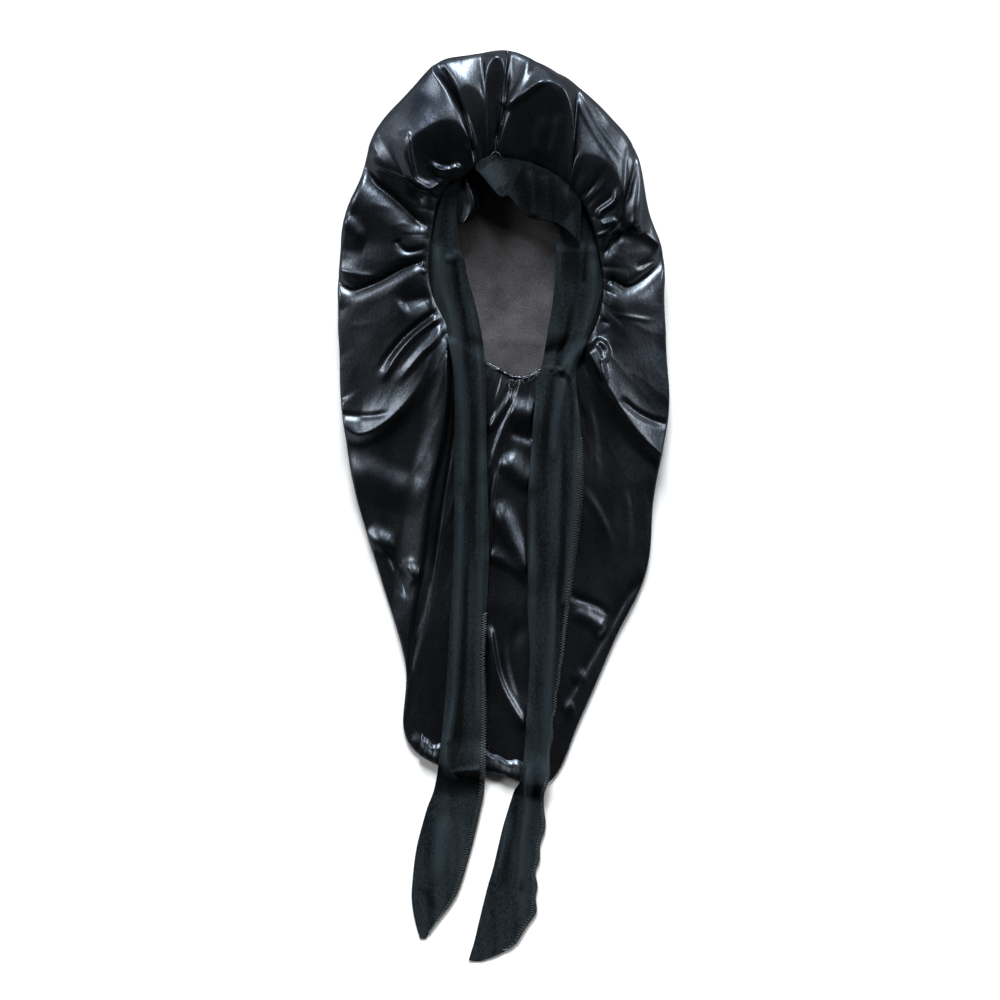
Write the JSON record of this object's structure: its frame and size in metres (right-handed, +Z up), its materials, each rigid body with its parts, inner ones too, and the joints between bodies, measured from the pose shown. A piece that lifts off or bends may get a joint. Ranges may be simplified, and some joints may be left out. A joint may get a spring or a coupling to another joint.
{
  "type": "sleep bonnet",
  "caption": "Long gathered satin sleep bonnet with a jersey band round its face opening and long tie ends, lying on its back.",
  "frame": {"origin": "centre of the bounding box on the surface that the bonnet lies on", "axes": "+Z up from that surface, +Y from the tie ends to the crown, +X to the right as seen from above"},
  "size_m": [0.3004, 0.8241, 0.072],
  "materials": {
    "satin": "glossy black polyester satin, matte grey-black on its wrong side",
    "jersey": "matte greenish-black stretch jersey"
  },
  "bodies": {
    "root": {"front_left_panel": "satin", "front_right_panel": "satin", "back_panel": "satin", "forehead_band": "jersey", "nape_hem": "satin", "bottom_hem": "satin", "left_tie": "jersey", "right_tie": "jersey"}
  },
  "joints": []
}
